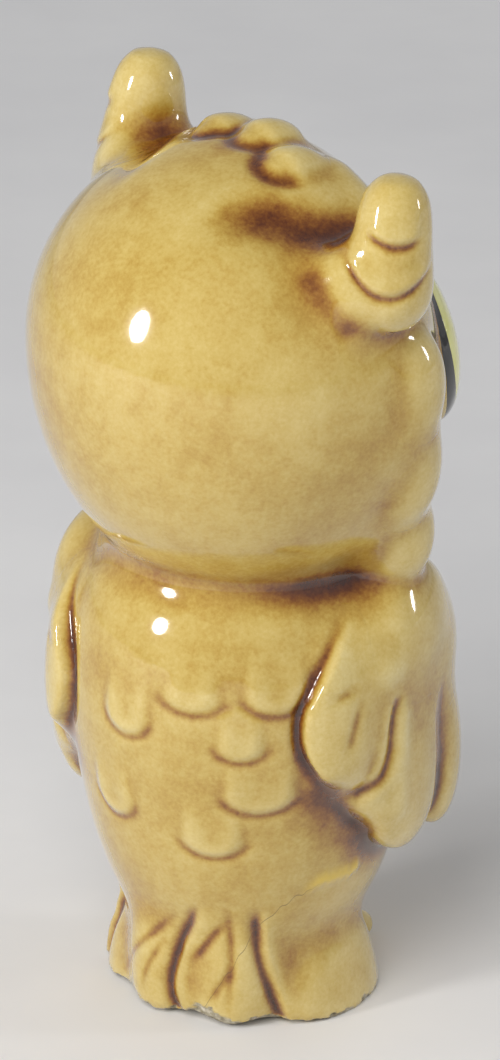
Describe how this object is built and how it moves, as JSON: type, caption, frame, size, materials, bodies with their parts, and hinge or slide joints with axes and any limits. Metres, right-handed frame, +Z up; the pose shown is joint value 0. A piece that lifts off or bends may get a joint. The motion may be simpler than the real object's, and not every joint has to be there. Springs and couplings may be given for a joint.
{
  "type": "owl figurine",
  "caption": "Hollow glazed earthenware owl standing on its tail and feet, round head turned over its right shoulder; a small shelf ornament.",
  "frame": {"origin": "on the table, under the middle of the figure's bounding box", "axes": "+Z up; the body faces -Y, so the owl's own right side is -X; the head looks toward its right shoulder"},
  "size_m": [0.0474, 0.0446, 0.0995],
  "materials": {
    "honey_glaze": "glossy",
    "yellow_enamel": "glossy",
    "black_enamel": "glossy"
  },
  "bodies": {
    "root": {"body_shell": "honey_glaze", "head_shell": "honey_glaze", "right_ear_tuft": "honey_glaze", "left_ear_tuft": "honey_glaze", "right_cheek_ruff": "honey_glaze", "left_cheek_ruff": "honey_glaze", "crest_feather_right": "honey_glaze", "crest_feather_centre": "honey_glaze", "crest_feather_left": "honey_glaze", "beak": "honey_glaze", "right_wing_covert": "honey_glaze", "right_wing_shoulder": "honey_glaze", "right_wing_flight_feathers": "honey_glaze", "left_wing_covert": "honey_glaze", "left_wing_shoulder": "honey_glaze", "left_wing_flight_feathers": "honey_glaze", "tail_feather_1": "honey_glaze", "tail_feather_2": "honey_glaze", "tail_feather_3": "honey_glaze", "tail_feather_4": "honey_glaze", "right_foot": "honey_glaze", "left_foot": "honey_glaze", "right_eye_iris": "yellow_enamel", "left_eye_iris": "yellow_enamel", "right_eye_pupil": "black_enamel", "left_eye_pupil": "black_enamel", "right_eye_outline": "black_enamel", "left_eye_outline": "black_enamel"}
  },
  "joints": []
}
